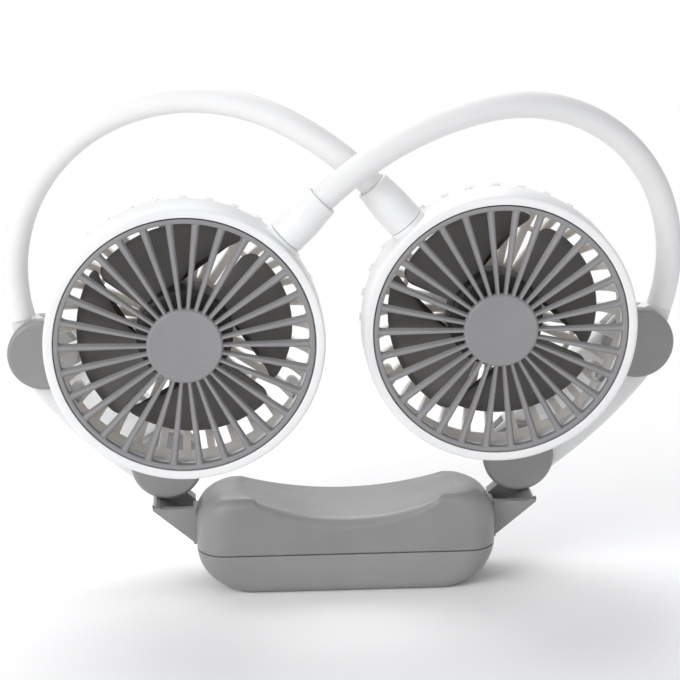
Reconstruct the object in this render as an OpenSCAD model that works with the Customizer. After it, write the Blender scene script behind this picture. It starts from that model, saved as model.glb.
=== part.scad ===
// Hands-free neck fan, folded as it is stored: a battery box with a neck saddle stands on its flat
// base, two hinged links carry bendable arms, and the arms cross so that each fan head hangs from
// the arm of the other side. X runs to the right, Y away from the viewer, Z up. The origin is the
// centre of the flat base.

/* [Battery box] */
// Room inside the walls at each end of the cell
cell_end_room = 12.4; // [12:0.2:15]
// Room inside the walls behind the cell, for the board and the ports
cell_side_room = 7.6; // [7.4:0.1:8.4]
// Room inside the walls above the cell, under the saddle
cell_top_room = 1.6; // [1.4:0.1:2.4]
// Height of the two front crests above the saddle's lowest line
crest_front_h = 8; // [7.5:0.25:10]
// Height of the two rear crests above the saddle's lowest line
crest_rear_h = 4.3; // [3.8:0.1:5.5]
// Rise of the saddle's lowest line from the front to the back
saddle_rise = 1.2; // [0.8:0.1:1.6]
// Height of the joint between the two shells
parting_z = 12.7; // [12.5:0.1:13.5]
// Radius of the lower corners of the box, seen from the front
base_corner_r = 14; // [12:0.5:16]
// Radius of the upper corners of the box, seen from the front
crest_corner_r = 10; // [9:0.5:12]
// Radius of the upright corners of the box, seen from above
plan_corner_r = 9; // [8:0.5:10]
// Rounding of all the other edges of the box
box_edge_r = 3; // [2.5:0.25:4]
// Wall of the two box shells
box_wall = 2; // [1.6:0.1:2.2]

/* [Battery and charging] */
// Radius of the round lithium cell
cell_r = 9.2; // [8.8:0.1:9.3]
// Length of the round lithium cell
cell_l = 65.2; // [60:0.2:66]
// Length of the control board
board_l = 44; // [40:0.5:46]
// Thickness of the control board
board_t = 1; // [0.8:0.1:1.6]
// Width of the charging inlet's metal mouth
inlet_w = 9; // [8.4:0.1:9.2]
// Height of the charging inlet's metal mouth
inlet_h = 3.2; // [2.8:0.1:3.4]
// Radius of the power button
button_r = 3.2; // [2.8:0.1:3.4]
// How far the button stands out of the back
button_proud = 0.9; // [0.85:0.05:1.4]
// Travel of the power button
button_travel = 0.7; // [0.5:0.05:0.8]

/* [Hinges] */
// Distance of each lower hinge from the end of the box
low_hinge_out = 9; // [8.5:0.25:11]
// Height of the lower hinges above the front crests
low_hinge_up = 4.5; // [4.25:0.25:6]
// Distance of each upper hinge from the lower one, outward
link_out = 37.4; // [36.5:0.1:39]
// Distance of each upper hinge from the lower one, upward
link_up = 37.1; // [36:0.1:38.5]
// Radius of the round hinge caps
cap_r = 11.3; // [10.8:0.1:11.5]
// Thickness of the hinge caps
cap_t = 3.9; // [3.5:0.1:4]
// Radius of the hinge pins
pin_r = 2; // [1.8:0.1:2.4]
// Running gap between a pin and its bore
run_gap = 0.06; // [0.04:0.01:0.08]
// Thickness of the tongue that turns in each link fork
tongue_t = 5; // [4.6:0.1:5.4]

/* [Links] */
// Thickness of a link, front to back
link_t = 9; // [8.8:0.1:10]
// Radius of the two round ends of a link
link_end_r = 10.8; // [10.4:0.1:11]
// How far the outer edge of a link bows beyond its ends
link_bow = 2.4; // [1.8:0.1:2.8]
// Rounding of a link's edges
link_edge_r = 2; // [1.2:0.1:2]

/* [Arms] */
// Radius of the soft arm tubes
tube_r = 4; // [3.8:0.05:4.05]
// Radius of the bendable core of an arm
core_r = 1.6; // [1.2:0.1:1.8]
// Radius of the collar where an arm meets its fan head
collar_r = 5.8; // [5.4:0.1:6]
// Length of the collars
collar_l = 15.5; // [14:0.25:16]
// Radius of the swivel stem inside a head
stem_r = 2.6; // [2.2:0.1:3]

/* [Arm bends] */
// Radius of the left arm's main bend
left_bend_r = 57.4; // [57:0.1:58]
// Centre of the left arm's main bend, outward from the middle
left_bend_x = 44.2; // [43.8:0.1:44.6]
// Height of the centre of the left arm's main bend
left_bend_z = 98; // [97.6:0.1:98.4]
// Angle of the left arm's collar below the horizontal
left_collar_angle = 48.5; // [47.5:0.25:49.5]
// Radius of the right arm's main bend
right_bend_r = 54.3; // [54:0.1:55]
// Centre of the right arm's main bend, outward from the middle
right_bend_x = 48.9; // [48.5:0.1:49.3]
// Height of the centre of the right arm's main bend
right_bend_z = 99.2; // [98.8:0.1:99.6]
// Angle of the right arm's collar below the horizontal
right_collar_angle = 45.5; // [44.5:0.25:46.5]

/* [Fan heads] */
// Outer radius of a fan head
head_r = 41.5; // [41:0.1:41.8]
// Depth of a fan head
head_d = 28; // [27.5:0.25:28.5]
// Distance of the left head's axis from the middle
left_head_x = 49.5; // [49:0.25:51]
// Distance of the right head's axis from the middle
right_head_x = 45.5; // [45.25:0.25:46.5]
// Height of the heads' axes
head_z = 87; // [86.5:0.25:87.5]
// Front face of the left head, ahead of the middle of the box
left_head_front = 33.5; // [33:0.25:35]
// Front face of the right head, ahead of the middle of the box
right_head_front = 23.5; // [23:0.25:24]
// Wall of the head shells
head_wall = 1.8; // [1.5:0.1:2]
// Radius of the rounded back of a head
shoulder_r = 16; // [15:0.25:17]

/* [Grille and guard] */
// Number of spokes in the front grille
spoke_count = 30; // [24:1:32]
// Radius of the plain disc in the middle of the grille
grille_hub_r = 11.3; // [10.5:0.1:12]
// Width of the white rim around the grille
rim_w = 2.5; // [2.3:0.1:2.9]
// Width of the grille's outer ring
grille_ring_w = 2.2; // [1.8:0.1:2.6]
// Thickness of the grille
grille_t = 2.4; // [2:0.1:2.8]
// Width of a spoke at the disc
spoke_inner_w = 1.2; // [1:0.05:1.3]
// Width of a spoke at the ring
spoke_outer_w = 2.4; // [2:0.1:2.6]
// Number of bars in the rear guard
guard_bar_count = 32; // [24:2:36]
// Width of a bar of the rear guard
guard_bar_w = 2.3; // [1.8:0.1:2.6]
// How far the guard bars stand out of the round back
guard_bar_proud = 1.2; // [0.8:0.1:1.4]

/* [Rotor and motor] */
// Number of blades
blade_count = 4; // [3:1:5]
// Gap between the blade tips and the head's inside
tip_gap = 6.9; // [6.7:0.1:8.7]
// Radius of the rotor's hub
rotor_hub_r = 11; // [10.6:0.1:12]
// Depth of the blades along the axis
blade_d = 9; // [8:0.25:9.5]
// Turn of each blade from front to back
blade_turn = 74; // [66:1:78]
// Axial thickness of the blades
blade_t = 1.4; // [1.2:0.1:1.8]
// Radius of the motor
motor_r = 9; // [8.5:0.1:9.4]
// Radius of the motor's shaft
shaft_r = 1; // [0.8:0.05:1.2]

/* [Hidden] */

grey = [0.60, 0.59, 0.59];
dark_grey = [0.34, 0.33, 0.32];
white = [0.94, 0.94, 0.93];
steel = [0.72, 0.73, 0.75];
copper_green = [0.16, 0.38, 0.24];
cell_blue = [0.24, 0.36, 0.52];
left = -1;
right = 1;
fine = 96;
medium = 48;
coarse = 32;

// One clearance between parts that rest on each other, and one overrun for cuts
rest_gap = 0.1;
overrun = 1;

// Steps in each arc of the box's front view and in its rounded edges
saddle_steps = 5;
corner_steps = 6;
edge_steps = 3;
plan_steps = 3;

// Battery box, sized by the cell inside it
box_w = cell_l + 2 * cell_end_room + 2 * box_wall;
box_d = 2 * cell_r + cell_side_room + 2 * box_wall;
saddle_front_z = 2 * cell_r + cell_top_room + 2 * box_wall;
saddle_rear_z = saddle_front_z + saddle_rise;
box_front_h = saddle_front_z + crest_front_h;
box_rear_h = saddle_rear_z + crest_rear_h;

// Battery room
cell_y = -(box_d / 2 - box_wall - cell_r - 2 * rest_gap);
cell_z = box_wall + cell_r + 2 * rest_gap;
cradle_t = 2;
cradle_front_y = box_edge_r - box_d / 2;
port_z = 8.6;
board_end_gap = 5;
board_x = box_w / 2 - box_wall - board_end_gap - board_l / 2;
board_front_y = cell_y + cell_r + 5 * rest_gap;
board_rear_y = box_d / 2 - box_wall - 2.5 * box_wall / 2;
board_top_z = port_z - inlet_h / 2;
inlet_x = box_w * 0.35;
inlet_l = 6.8;
inlet_wall = 0.35;
button_x = box_w * 0.13;
lens_x = box_w * 0.235;
lens_r = 1.3;
flange_t = 0.8;
flange_w = 0.6;
switch_w = 5;
switch_h = 3.6;
screw_r = 1;
screw_head_r = 1.9;
screw_head_t = 1.3;
post_r = 2.4;
post_gap = 1;
screw_low = 1;
screw_end_z = parting_z + 5 * screw_r;
post_places = [[-box_w * 0.32, board_front_y + post_r + rest_gap],
    [cell_l / 2 + post_gap + post_r, -box_d * 0.23]];

// Hinges: the tongues end flush with the back of the box
low_hinge_x = box_w / 2 + low_hinge_out;
low_hinge_z = box_front_h + low_hinge_up;
high_hinge_x = low_hinge_x + link_out;
high_hinge_z = low_hinge_z + link_up;
hinge_y = box_d / 2 - tongue_t / 2;

// Hinge stack, front to back: cap, fork cheek, tongue, fork cheek, pin head
link_front_y = hinge_y - link_t / 2;
link_rear_y = hinge_y + link_t / 2;
tongue_front_y = hinge_y - tongue_t / 2;
cap_front_y = link_front_y - rest_gap - cap_t;
cap_edge_r = 1.2;
tongue_r = 9.4;
fork_gap = 0.15;
fork_room = 0.4;
fork_r = cap_r + fork_room;
pin_head_r = 4;
pin_head_t = 1.2;

// Brackets
bracket_front_y = -3;
lip_t = 2.5;
floor_t = 2;
plug_in = 4;
plug_rear_y = plan_corner_r;
bracket_low = [box_w / 2 + rest_gap, parting_z + rest_gap];
tip_out = 4.6;
tip_drop = 12.3;
lip_rise = 11.9;
plug_rise = 10.2;
bracket_tip = [low_hinge_x + tip_out, low_hinge_z - tip_drop];
bracket_top_z = parting_z + lip_rise;
plug_top_z = parting_z + plug_rise;
tip_r = 1.2;

// Arms: a path of two arcs that touch, the second ending at the collar, pointing at the head
collar_socket = 3;
collar_gap = 0.15;
boss_proud = 1.3;
boss_depth = 8;
collar_base_r = head_r + boss_proud + rest_gap;
tube_end_r = collar_base_r + collar_l - collar_socket;
tube_start_up = 10.4;
tube_start_z = high_hinge_z + tube_start_up;
ring_count = 34;
tube_sides = 16;
core_sides = 8;

// Head
head_front_edge = 0.5;
guard_front_d = 14;
shoulder_x = head_r - shoulder_r;
shoulder_d = head_d - shoulder_r;
grille_r = head_r - rim_w;
seat_gap = 0.25;
grille_seat_r = grille_r + seat_gap;
ledge_w = 1.6;
ledge_r = grille_r - ledge_w;
ledge_t = 2;
guard_t = 1.6;
guard_plate_r = head_r * 0.35;
hoop_r = head_r * 0.65;
hoop_w = 1.5;
rim_end_angle = 26;
bar_start_angle = 22;
boss_r = 2.2;
boss_sink = 0.3;
screw_ring_r = head_r - head_wall - boss_r + boss_sink;
head_screw_r = 0.9;
head_screw_head_r = 1.7;
head_screw_l = 11;

// Rotor
blade_front_d = 14.5;
hub_front_d = 10.5;
hub_wall = 1.3;
hub_rear_d = 22;
collet_l = 1.2;
rotor_r = head_r - head_wall - tip_gap;
motor_front_d = hub_front_d + hub_wall + collet_l;
motor_rear_d = head_d - guard_t;
blade_root_share = 0.93;
tip_corner_r = 7;
blade_slices = 7;
rotor_rest_angle = 36;

function head_x(side) = side < 0 ? left_head_x : right_head_x;
function head_front(side) = side < 0 ? left_head_front : right_head_front;

// Puts an outline drawn in X and Z between two depths
module upright(front_y, t) {
    translate([0, front_y + t, 0]) rotate([90, 0, 0]) linear_extrude(t) children();
}

// Puts a solid that is drawn along Z on an axis that runs to the back
module backward(x, front_y, z) {
    translate([x, front_y, z]) rotate([-90, 0, 0]) children();
}

module mirrored(side) {
    if (side < 0) mirror([1, 0, 0]) children();
    else children();
}

// Battery box. Its form is lofted through front views, each with a top line of two crests and the
// saddle between them, and a bottom line with round corners. skin is the depth below the surface.

function turned(angle) = [cos(angle), sin(angle)];
function fall(r, depth) = depth >= r ? 0 : r - sqrt(r * r - (r - depth) * (r - depth));
function along_y(y, front, rear) = front + (rear - front) * (y / box_d + 1 / 2);
function circle_y(r, x) = sqrt(max(0, r * r - x * x));

// Distances from the middle at which both lines have a point
function across_box(corner_x, corner_r) = let (
        flat = [for (i = [0 : saddle_steps]) corner_x * i / saddle_steps],
        round_end = [for (i = [1 : corner_steps]) corner_x + corner_r * sin(90 * i / corner_steps)])
    concat([for (i = [corner_steps - 1 : -1 : 0]) -round_end[i]],
        [for (i = [saddle_steps : -1 : 1]) -flat[i]], flat, round_end);

function bottom_line(x, corner_x, edge) =
    base_corner_r - circle_y(base_corner_r - edge, max(0, abs(x) - corner_x));

// The crest's arc and the saddle's arc touch at the distance touch_x from the middle
function top_line(x, y, crest_x, edge) = let (
        top = along_y(y, box_front_h, box_rear_h),
        dip = top - along_y(y, saddle_front_z, saddle_rear_z),
        reach = (crest_x * crest_x + dip * dip) / (2 * dip),
        saddle_r = reach - crest_corner_r + edge,
        touch_x = saddle_r * crest_x / reach)
    abs(x) < touch_x ? top - dip + reach - crest_corner_r - circle_y(saddle_r, x)
        : top - crest_corner_r + circle_y(crest_corner_r - edge, abs(x) - crest_x);

// The front view at one depth, edge smaller than the box and narrowed by the upright corners
function box_view(y, edge, narrow) = let (
        half_w = box_w / 2 - narrow,
        corner_x = half_w - base_corner_r,
        xs = across_box(corner_x, base_corner_r - edge))
    concat([for (x = xs) [x, y, bottom_line(x, corner_x, edge)]],
        [for (i = [len(xs) - 1 : -1 : 0]) [xs[i], y, top_line(xs[i], y, half_w - crest_corner_r, edge)]]);

module box_form(skin) {
    edge_r = box_edge_r - skin;
    plan_r = plan_corner_r - skin;
    half_d = box_d / 2 - skin;
    depths = concat([for (i = [0 : edge_steps]) edge_r * (1 - cos(90 * i / edge_steps))],
        [for (i = [1 : plan_steps]) edge_r + (plan_r - edge_r) * i / plan_steps]);
    last = len(depths) - 1;
    places = concat([for (d = depths) [d - half_d, d]],
        [for (i = [last : -1 : 0]) [half_d - depths[i], depths[i]]]);
    skinned([for (place = places) box_view(place[0], skin + fall(edge_r, place[1]),
        fall(plan_r, place[1]) - fall(edge_r, place[1]))], true);
}

// A closed solid through a row of rings that have the same number of points. Where paired, its ends
// are strips between the first and the second half of the ring's points.
module skinned(rings, paired = false) {
    count = len(rings[0]);
    final = (len(rings) - 1) * count;
    walls = [for (i = [0 : len(rings) - 2], k = [0 : count - 1]) let (
            a = i * count + k,
            b = i * count + (k + 1) % count)
        each [[a, b, a + count], [b, b + count, a + count]]];
    strips = [for (k = [0 : count / 2 - 2]) let (far = count - 1 - k) [k, far, far - 1, k + 1]];
    start = paired ? strips : [[for (k = [count - 1 : -1 : 0]) k]];
    end = paired ? [for (s = strips) [final + s[0], final + s[3], final + s[2], final + s[1]]]
        : [[for (k = [0 : count - 1]) final + k]];
    polyhedron(points = [for (r = rings) each r], faces = concat(start, walls, end), convexity = 10);
}

module plan_outline(inset) {
    for (x = [-1, 1], y = [-1, 1])
        translate([x * (box_w / 2 - plan_corner_r), y * (box_d / 2 - plan_corner_r)])
            circle(plan_corner_r - inset, $fn = coarse);
    square([box_w - 2 * plan_corner_r, box_d - 2 * inset], center = true);
    square([box_w - 2 * inset, box_d - 2 * plan_corner_r], center = true);
}

module half(z_low, z_high) {
    translate([-box_w, -box_d, z_low]) cube([2 * box_w, 2 * box_d, z_high - z_low]);
}

module rear_ports() {
    port_y = box_d / 2 - 2 * box_wall;
    backward(button_x, port_y, port_z) cylinder(r = button_r + rest_gap, h = 4 * box_wall, $fn = medium);
    backward(lens_x, port_y, port_z) cylinder(r = lens_r + rest_gap / 2, h = 4 * box_wall, $fn = medium);
    translate([inlet_x - inlet_w / 2 - 2 * rest_gap, port_y, port_z - inlet_h / 2 - 2 * rest_gap])
        cube([inlet_w + 4 * rest_gap, 4 * box_wall, inlet_h + 4 * rest_gap]);
}

module plug_notch() {
    for (side = [left, right]) mirrored(side)
        translate([box_w / 2 - plug_in - overrun, bracket_front_y - rest_gap, parting_z - overrun])
            cube([plug_in + 3 * overrun, plug_rear_y - bracket_front_y + 2 * rest_gap,
                plug_top_z - parting_z + rest_gap + overrun]);
}

module lower_shell() {
    color(grey) difference() {
        union() {
            difference() {
                intersection() {
                    box_form(0);
                    half(-overrun, parting_z);
                }
                box_form(box_wall);
            }
            for (place = post_places) translate([place[0], place[1], box_wall / 2])
                cylinder(r = post_r, h = parting_z - box_wall / 2, $fn = medium);
            for (x = [-cell_l / 3, cell_l / 3]) translate([x - cradle_t / 2, 0, box_wall / 2]) cell_cradle();
            for (x = [-board_l / 3, board_l / 3])
                translate([board_x + x, board_front_y + overrun, box_wall / 2])
                    cube([cradle_t, board_rear_y - board_front_y - 2 * overrun,
                        board_top_z - board_t - box_wall / 2]);
        }
        rear_ports();
        for (place = post_places) translate([place[0], place[1], -overrun]) {
            cylinder(r = screw_r + run_gap, h = 2 * parting_z, $fn = coarse);
            cylinder(r = screw_head_r + 2 * rest_gap, h = overrun + screw_low + screw_head_t, $fn = medium);
        }
    }
}

module cell_cradle() {
    difference() {
        translate([0, cradle_front_y, 0])
            cube([cradle_t, cell_y + cell_r / 2 - cradle_front_y, cell_z - cell_r / 2]);
        translate([-overrun, cell_y, cell_z - box_wall / 2]) rotate([0, 90, 0])
            cylinder(r = cell_r + rest_gap, h = cradle_t + 2 * overrun, $fn = fine);
    }
}

module upper_shell() {
    seam = 0.5;
    color(grey) difference() {
        union() {
            difference() {
                intersection() {
                    box_form(0);
                    half(parting_z, 2 * box_front_h);
                }
                box_form(box_wall);
            }
            for (place = post_places) translate([place[0], place[1], parting_z])
                cylinder(r = post_r, h = top_line(place[0], place[1], box_w / 2 - crest_corner_r, box_wall)
                    + box_wall / 3 - parting_z, $fn = medium);
        }
        plug_notch();
        for (place = post_places) translate([place[0], place[1], parting_z - overrun])
            cylinder(r = screw_r + run_gap, h = screw_end_z - parting_z + 2 * overrun, $fn = coarse);
        translate([0, 0, parting_z - seam]) linear_extrude(2 * seam) difference() {
            square([2 * box_w, 2 * box_d], center = true);
            plan_outline(seam);
        }
    }
}

module battery_cell() {
    cap_h = 0.9;
    color(cell_blue) translate([-cell_l / 2, cell_y, cell_z]) rotate([0, 90, 0]) {
        cylinder(r = cell_r, h = cell_l - cap_h, $fn = fine);
        cylinder(r = cell_r / 3, h = cell_l, $fn = medium);
    }
}

module control_board() {
    board_w = board_rear_y - board_front_y;
    chip = 4;
    color(copper_green) {
        translate([board_x - board_l / 2, board_front_y, board_top_z - board_t])
            cube([board_l, board_w, board_t]);
        translate([button_x - switch_w / 2, board_rear_y - 0.7 * board_w, board_top_z])
            cube([switch_w, 0.7 * board_w, switch_h]);
        translate([lens_x - lens_r, board_rear_y - lens_r, board_top_z]) cube([2 * lens_r, lens_r, inlet_h]);
        for (x = [-0.42, -0.06]) translate([board_x + x * board_l, board_front_y + board_w / 5, board_top_z])
            cube([chip, chip / 2, board_t]);
    }
}

module charging_inlet() {
    color(steel) translate([inlet_x, box_d / 2 - rest_gap - inlet_l, port_z]) difference() {
        translate([-inlet_w / 2, 0, -inlet_h / 2]) cube([inlet_w, inlet_l, inlet_h]);
        translate([-inlet_w / 2 + inlet_wall, overrun, -inlet_h / 2 + inlet_wall])
            cube([inlet_w - 2 * inlet_wall, inlet_l, inlet_h - 2 * inlet_wall]);
    }
    color(dark_grey)
        translate([inlet_x - inlet_w / 3, box_d / 2 - rest_gap - inlet_l + overrun, port_z - inlet_wall])
            cube([2 * inlet_w / 3, inlet_l - 2 * overrun, 2 * inlet_wall]);
}

module indicator_lens() {
    color(white) backward(lens_x, board_rear_y + rest_gap, port_z)
        cylinder(r = lens_r, h = box_d / 2 - board_rear_y, $fn = medium);
}

module power_button() {
    flange_rear_y = box_d / 2 - box_wall - rest_gap;
    button_rear_y = box_d / 2 + button_proud;
    dish = 0.3;
    color(white) difference() {
        union() {
            backward(button_x, flange_rear_y - flange_t, port_z)
                cylinder(r = button_r, h = button_rear_y - flange_rear_y + flange_t, $fn = medium);
            backward(button_x, flange_rear_y - flange_t, port_z)
                cylinder(r = button_r + flange_w, h = flange_t, $fn = medium);
        }
        backward(button_x, button_rear_y - dish, port_z)
            cylinder(r1 = button_r / 2, r2 = button_r - dish, h = 2 * dish, $fn = medium);
    }
}

module shell_screws() {
    color(steel) for (place = post_places) translate([place[0], place[1], screw_low]) {
        cylinder(r = screw_head_r, h = screw_head_t, $fn = coarse);
        cylinder(r = screw_r, h = screw_end_z - screw_low, $fn = coarse);
    }
}

module pin_bore(x, z, gap) {
    backward(x, -box_d, z) cylinder(r = pin_r + gap, h = 3 * box_d, $fn = medium);
}

// Brackets between the box and the lower hinges

function lower_edge_dir() = (bracket_tip - bracket_low) / norm(bracket_tip - bracket_low);
function lower_edge_normal() = [-lower_edge_dir()[1], lower_edge_dir()[0]];

module bracket_lip() {
    polygon([bracket_low, bracket_tip, bracket_tip + tip_r * [0.2, 1],
        [bracket_tip[0] - tip_r, bracket_top_z], [bracket_low[0], bracket_top_z]]);
}

module bracket_floor() {
    up = floor_t * lower_edge_normal();
    polygon([bracket_low, bracket_tip, bracket_tip + up, bracket_low + up]);
}

// A neck between two straight edges that touch the round end at -60 and -111 degrees
module tongue_outline() {
    hinge = [low_hinge_x, low_hinge_z];
    polygon([bracket_low, bracket_tip - 4 * tip_r * lower_edge_dir(), hinge + tongue_r * turned(-60), hinge,
        hinge + tongue_r * turned(-111), [bracket_low[0], plug_top_z]]);
    translate(hinge) circle(tongue_r, $fn = fine);
}

module bracket(side) {
    color(grey) mirrored(side) difference() {
        union() {
            upright(bracket_front_y, lip_t) bracket_lip();
            translate([box_w / 2 - plug_in, bracket_front_y, bracket_low[1]])
                cube([plug_in + overrun, plug_rear_y - bracket_front_y, plug_top_z - bracket_low[1]]);
            upright(bracket_front_y, tongue_front_y + tongue_t - bracket_front_y) bracket_floor();
            upright(tongue_front_y, tongue_t) tongue_outline();
        }
        backward(low_hinge_x, -box_d, low_hinge_z)
            cylinder(r = fork_r, h = box_d + tongue_front_y, $fn = fine);
        pin_bore(low_hinge_x, low_hinge_z, run_gap);
    }
}

// Links

link_len = norm([high_hinge_x - low_hinge_x, high_hinge_z - low_hinge_z]);
link_angle = atan2(high_hinge_z - low_hinge_z, high_hinge_x - low_hinge_x);
bow_rise = (link_len * link_len / 4 - link_bow * link_bow) / (2 * link_bow);
bow_r = bow_rise + link_end_r + link_bow;

// Drawn along X from the lower hinge, the bowed edge below as an arc that touches both round ends
module link_outline(inset) {
    for (x = [0, link_len]) translate([x, 0]) circle(link_end_r - inset, $fn = medium);
    square([link_len, link_end_r - inset]);
    intersection() {
        translate([link_len / 2, bow_rise]) circle(bow_r - inset, $fn = 2 * fine);
        polygon([[0, 0], [-link_len / 2, -bow_rise], [3 * link_len / 2, -bow_rise], [link_len, 0]]);
    }
}

module link(side) {
    color(white) mirrored(side) difference() {
        translate([low_hinge_x, 0, low_hinge_z]) rotate([0, -link_angle, 0]) hull() {
            upright(link_front_y, link_t) link_outline(link_edge_r);
            upright(link_front_y + 0.3 * link_edge_r, link_t - 0.6 * link_edge_r)
                link_outline(0.3 * link_edge_r);
            upright(link_front_y + link_edge_r, link_t - 2 * link_edge_r) link_outline(0);
        }
        for (hinge = [[low_hinge_x, low_hinge_z], [high_hinge_x, high_hinge_z]]) {
            backward(hinge[0], tongue_front_y - fork_gap, hinge[1])
                cylinder(r = fork_r, h = tongue_t + 2 * fork_gap, $fn = fine);
            pin_bore(hinge[0], hinge[1], run_gap / 3);
            backward(hinge[0], link_rear_y - pin_head_t, hinge[1])
                cylinder(r = pin_head_r + rest_gap, h = 2 * pin_head_t, $fn = medium);
        }
    }
}

module cap(side, x, z) {
    color(grey) backward(side * x, cap_front_y, z) difference() {
        rotate_extrude($fn = fine) {
            square([cap_r - cap_edge_r, cap_t]);
            translate([0, cap_edge_r]) square([cap_r, cap_t - cap_edge_r]);
            translate([cap_r - cap_edge_r, cap_edge_r]) circle(cap_edge_r, $fn = medium);
        }
        translate([0, 0, cap_t / 2]) cylinder(r = pin_r + run_gap / 3, h = cap_t, $fn = medium);
    }
}

module pin(side, x, z) {
    color(steel) {
        backward(side * x, cap_front_y + cap_t / 2 + rest_gap, z)
            cylinder(r = pin_r, h = link_rear_y - cap_front_y - cap_t / 2 - 2 * rest_gap, $fn = medium);
        backward(side * x, link_rear_y - pin_head_t, z) difference() {
            cylinder(r = pin_head_r, h = pin_head_t - rest_gap, $fn = medium);
            translate([0, 0, pin_head_t / 2]) cylinder(r = pin_r, h = pin_head_t, $fn = 6);
        }
    }
}

// Arms. A path point is outward distance, depth and height; the arm ends beyond the middle.

function bend_centre(side) = side < 0 ? [left_bend_x, left_bend_z] : [right_bend_x, right_bend_z];
function bend_r(side) = side < 0 ? left_bend_r : right_bend_r;
function collar_angle(side) = side < 0 ? left_collar_angle : right_collar_angle;

// The head that an arm carries is the one of the other side
function far_head(side) = [-head_x(-side), head_z];
function collar_dir(side) = [-cos(collar_angle(side)), -sin(collar_angle(side))];
function mouth(side) = far_head(side) - tube_end_r * collar_dir(side);
function mouth_normal(side) = [collar_dir(side)[1], -collar_dir(side)[0]];
function mouth_from_bend(side) = mouth(side) - bend_centre(side);

// Radius of the second bend, which touches the first and ends at the collar's mouth
function second_r(side) = (bend_r(side) * bend_r(side) - mouth_from_bend(side) * mouth_from_bend(side))
    / (2 * (-mouth_normal(side) * mouth_from_bend(side) + bend_r(side)));
function second_centre(side) = mouth(side) - second_r(side) * mouth_normal(side);
function angle_at(point, centre) = atan2(point[1] - centre[1], point[0] - centre[0]);
function start_angle(side) = asin((tube_start_z - bend_centre(side)[1]) / bend_r(side));
function touch_angle(side) = second_r(side) > bend_r(side)
    ? angle_at(bend_centre(side), second_centre(side)) : angle_at(second_centre(side), bend_centre(side));
function end_angle(side) = angle_at(mouth(side), second_centre(side));
function first_len(side) = bend_r(side) * (touch_angle(side) - start_angle(side));
function second_len(side) = second_r(side) * (end_angle(side) - touch_angle(side));
function first_share(side) = first_len(side) / (first_len(side) + second_len(side));
function eased(share) = share * share * (3 - 2 * share);
function arm_end_y(side) = -head_front(-side) + boss_depth;

function arc_point(side, share) = share < first_share(side)
    ? bend_centre(side) + bend_r(side) * turned(start_angle(side)
        + (touch_angle(side) - start_angle(side)) * share / first_share(side))
    : second_centre(side) + second_r(side) * turned(touch_angle(side)
        + (end_angle(side) - touch_angle(side)) * (share - first_share(side)) / (1 - first_share(side)));
function arm_point(side, share) = [side * arc_point(side, share)[0],
    hinge_y + (arm_end_y(side) - hinge_y) * eased(share), arc_point(side, share)[1]];

function unit(v) = v / norm(v);
function arm_dir(side, share) = share <= 0 ? [-side * sin(start_angle(side)), 0, cos(start_angle(side))]
    : share >= 1 ? [side * collar_dir(side)[0], 0, collar_dir(side)[1]]
    : unit(arm_point(side, share + step / 2) - arm_point(side, share - step / 2));
step = 1 / (ring_count - 1);

// One ring of a swept tube, square to the path
function ring(side, share, r, sides) = let (
        p = arm_point(side, share),
        along = arm_dir(side, share),
        across = unit(cross(along, [0, 1, 0])),
        aside = cross(across, along))
    [for (k = [0 : sides - 1]) p + r * (cos(360 * k / sides) * across + sin(360 * k / sides) * aside)];

module swept_tube(side, r, sides) {
    skinned([for (i = [0 : ring_count - 1]) ring(side, i * step, r, sides)]);
}

module arm_tube(side) {
    color(white) difference() {
        swept_tube(side, tube_r, tube_sides);
        swept_tube(side, core_r + rest_gap, core_sides);
    }
}

module arm_core(side) {
    color(dark_grey) swept_tube(side, core_r, core_sides);
}

// The arm's end piece turns in the fork of the upper hinge and carries the tube
module arm_knuckle(side) {
    hinge = [high_hinge_x, high_hinge_z];
    root = [arm_point(side, 0)[0] * side, arm_point(side, 0)[2]];
    across = turned(start_angle(side));
    lean = angle_at(root, hinge);
    neck = 0.85 * tube_r;
    color(white) mirrored(side) difference() {
        union() {
            backward(hinge[0], tongue_front_y, hinge[1]) cylinder(r = tongue_r, h = tongue_t, $fn = fine);
            upright(tongue_front_y, tongue_t) polygon([root - neck * across, root + neck * across,
                hinge + 0.9 * tongue_r * turned(lean - 60), hinge,
                hinge + 0.9 * tongue_r * turned(lean + 60)]);
        }
        pin_bore(high_hinge_x, high_hinge_z, run_gap);
    }
}

// Sets Z along a collar, away from the axis of the head that the arm carries
module on_collar_axis(side) {
    translate([side * far_head(side)[0], arm_end_y(side), head_z])
        rotate([0, side * (90 - collar_angle(side)), 0]) children();
}

module arm_collar(side) {
    mouth_wall = 1.1;
    flange_h = 1;
    flange_top = head_r - head_wall - 2 * rest_gap;
    color(white) on_collar_axis(side) difference() {
        union() {
            translate([0, 0, collar_base_r]) cylinder(r = collar_r, h = collar_l / 2, $fn = medium);
            translate([0, 0, collar_base_r + collar_l / 2])
                cylinder(r1 = collar_r, r2 = tube_r + mouth_wall, h = collar_l / 2, $fn = medium);
            translate([0, 0, flange_top - flange_h]) {
                cylinder(r = stem_r, h = collar_base_r + overrun - flange_top + flange_h, $fn = medium);
                cylinder(r = stem_r + flange_t, h = flange_h, $fn = medium);
            }
        }
        translate([0, 0, tube_end_r]) cylinder(r = tube_r + collar_gap, h = collar_l, $fn = medium);
    }
}

// Fan heads: Z runs from the front face to the back on the head's axis

module at_head(side) {
    backward(side * head_x(side), -head_front(side), head_z) children();
}

module ring_of(count) {
    for (k = [0 : count - 1]) rotate([0, 0, 360 * k / count]) children();
}

module back_curve(r) {
    intersection() {
        translate([shoulder_x, shoulder_d]) circle(r, $fn = fine);
        translate([shoulder_x, shoulder_d]) square(2 * r);
    }
    translate([0, guard_front_d - overrun]) square([shoulder_x, shoulder_d + r - guard_front_d + overrun]);
}

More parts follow.
